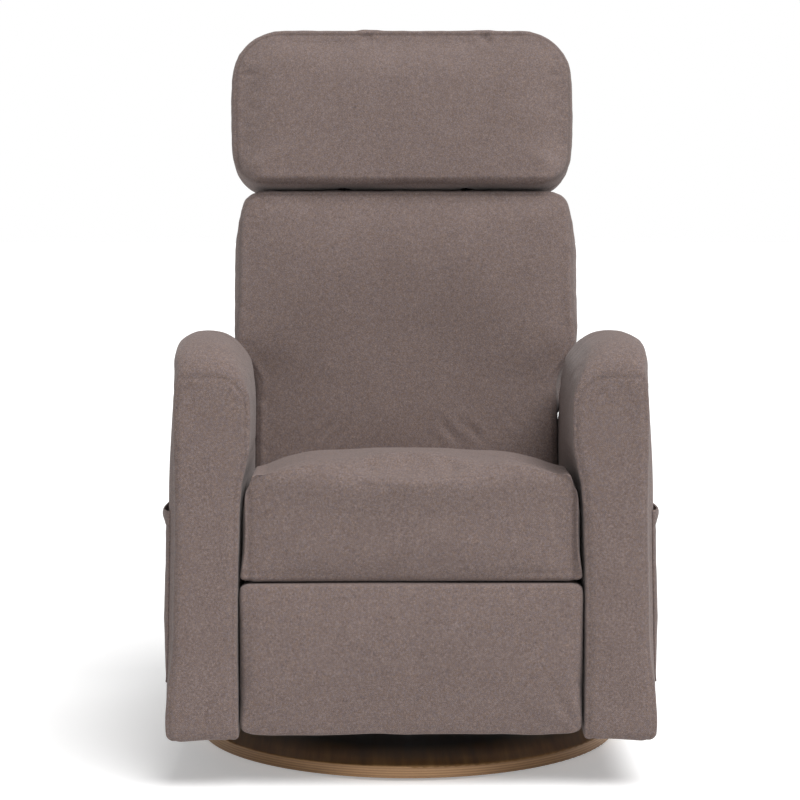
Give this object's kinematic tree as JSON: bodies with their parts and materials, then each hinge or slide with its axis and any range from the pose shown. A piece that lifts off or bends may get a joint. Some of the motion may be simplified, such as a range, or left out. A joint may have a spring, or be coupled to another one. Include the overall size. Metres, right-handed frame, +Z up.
{
  "type": "swivel rocker recliner",
  "caption": "Upholstered armchair that swivels on a round wooden base, rocks on springs and reclines with a fold-out footrest and tilting headrest.",
  "frame": {"origin": "on the floor at the swivel axis, which is also the centre of the bounding box's underside", "axes": "+Z up, the sitter faces -Y, +X is the sitter's left"},
  "size_m": [0.6962, 0.7447, 1.0943],
  "materials": {
    "plywood": "satin",
    "glide_nylon": "matte",
    "race_steel": "satin",
    "ball_steel": "polished",
    "black_steel": "satin",
    "link_steel": "satin",
    "spring_steel": "satin",
    "timber": "matte",
    "webbing": "matte",
    "upholstery": "matte"
  },
  "bodies": {
    "base": {"base_disc": "plywood", "floor_glides": "glide_nylon", "bearing_lower_race": "race_steel", "base_bolts": "race_steel"},
    "ball_ring": {"bearing_balls": "ball_steel"},
    "swivel": {"bearing_upper_race": "race_steel", "swivel_plate": "black_steel", "swivel_bolts": "race_steel", "rocker_bushes": "glide_nylon", "rocker_bracket_left": "black_steel", "rocker_bracket_right": "black_steel"},
    "chair": {"rocker_axle": "race_steel", "rocker_springs": "spring_steel", "cross_bar_front": "black_steel", "cross_bar_rear": "black_steel", "arm_bolts": "race_steel", "front_stretcher": "timber", "rear_apron": "upholstery", "base_rail_left": "black_steel", "base_rail_right": "black_steel", "arm_panel_left": "plywood", "arm_panel_right": "plywood", "arm_pad_left": "upholstery", "arm_pad_right": "upholstery", "side_pocket_left": "upholstery", "side_pocket_right": "upholstery"},
    "seat_front_links": {"seat_front_links": "link_steel"},
    "seat_rear_links": {"seat_rear_links": "link_steel"},
    "seat": {"seat_rail_left": "black_steel", "seat_rail_right": "black_steel", "seat_front_board": "timber", "seat_rear_board": "timber", "seat_webbing": "webbing", "seat_cushion": "upholstery"},
    "footrest_drive": {"footrest_drive_link_left": "link_steel", "footrest_drive_link_right": "link_steel", "footrest_cross_tube": "black_steel"},
    "footrest_rear": {"footrest_rear_links": "link_steel"},
    "footrest_outer": {"footrest_outer_link_left": "link_steel", "footrest_outer_link_right": "link_steel"},
    "footrest_inner": {"footrest_inner_links": "link_steel"},
    "footrest": {"footrest_bracket_left": "link_steel", "footrest_bracket_right": "link_steel", "footrest_board": "plywood", "footrest_pad": "upholstery"},
    "back": {"back_post_left": "plywood", "back_post_right": "plywood", "back_top_rail": "timber", "back_bottom_rail": "timber", "back_webbing": "webbing", "back_cushion": "upholstery", "back_cover": "upholstery", "back_hinge_left": "link_steel", "back_hinge_right": "link_steel", "headrest_hinge_lower": "link_steel"},
    "headrest": {"headrest_cushion": "upholstery", "headrest_cover": "upholstery", "headrest_board": "plywood", "headrest_hinge_upper": "link_steel"}
  },
  "joints": [
    {"name": "swivel", "type": "hinge", "parent": "base", "child": "swivel", "pos_m": [0, 0, 0.031], "axis": [0, 0, 1], "continuous": true},
    {"name": "ball_ring_turn", "type": "hinge", "parent": "base", "child": "ball_ring", "pos_m": [0, 0, 0.031], "axis": [0, 0, 1], "continuous": true},
    {"name": "rock", "type": "hinge", "parent": "swivel", "child": "chair", "pos_m": [0, 0, 0.094], "axis": [-1, 0, 0], "range_deg": [-8, 8], "stiffness_Nm_per_rad": 900, "deforming": ["rocker_springs"]},
    {"name": "seat_rear_link_swing", "type": "hinge", "parent": "chair", "child": "seat_rear_links", "pos_m": [0, 0.06, 0.16], "axis": [1, 0, 0], "range_deg": [0, 50]},
    {"name": "seat_level", "type": "hinge", "parent": "seat_rear_links", "child": "seat", "pos_m": [0, 0.08747, 0.21891], "axis": [-1, 0, 0], "range_deg": [0, 50]},
    {"name": "seat_front_link_swing", "type": "hinge", "parent": "chair", "child": "seat_front_links", "pos_m": [0, -0.15, 0.16], "axis": [1, 0, 0], "range_deg": [0, 50]},
    {"name": "recline", "type": "hinge", "parent": "seat", "child": "back", "pos_m": [0, 0.11, 0.3], "axis": [-1, 0, 0], "range_deg": [0, 40]},
    {"name": "footrest_drive_turn", "type": "hinge", "parent": "seat", "child": "footrest_drive", "pos_m": [0, -0.1976, 0.262], "axis": [-1, 0, 0], "range_deg": [0, 120.95]},
    {"name": "footrest_rear_turn", "type": "hinge", "parent": "seat", "child": "footrest_rear", "pos_m": [0, -0.1686, 0.2352], "axis": [-1, 0, 0], "range_deg": [0, 118.7]},
    {"name": "footrest_outer_turn", "type": "hinge", "parent": "footrest_drive", "child": "footrest_outer", "pos_m": [0, -0.09512, 0.18202], "axis": [-1, 0, 0], "range_deg": [-106.9, 0]},
    {"name": "footrest_inner_turn", "type": "hinge", "parent": "footrest_drive", "child": "footrest_inner", "pos_m": [0, -0.08494, 0.21703], "axis": [-1, 0, 0], "range_deg": [-113.4, 0]},
    {"name": "footrest_board_turn", "type": "hinge", "parent": "footrest_outer", "child": "footrest", "pos_m": [0, -0.29946, 0.21805], "axis": [-1, 0, 0], "range_deg": [0, 70]},
    {"name": "headrest_tilt", "type": "hinge", "parent": "back", "child": "headrest", "pos_m": [0, 0.22822, 0.86579], "axis": [1, 0, 0], "range_deg": [0, 25]}
  ],
  "couplings": [
    {"joint": "ball_ring_turn", "follows": "swivel", "ratio": 0.5},
    {"joint": "seat_rear_link_swing", "follows": "recline", "ratio": 1.25},
    {"joint": "seat_level", "follows": "recline", "ratio": 1.25},
    {"joint": "seat_front_link_swing", "follows": "recline", "ratio": 1.25},
    {"joint": "footrest_rear_turn", "follows": "footrest_drive_turn", "ratio": 0.98115},
    {"joint": "footrest_outer_turn", "follows": "footrest_drive_turn", "ratio": -0.88342},
    {"joint": "footrest_inner_turn", "follows": "footrest_drive_turn", "ratio": -0.93708},
    {"joint": "footrest_board_turn", "follows": "footrest_drive_turn", "ratio": 0.57793}
  ]
}
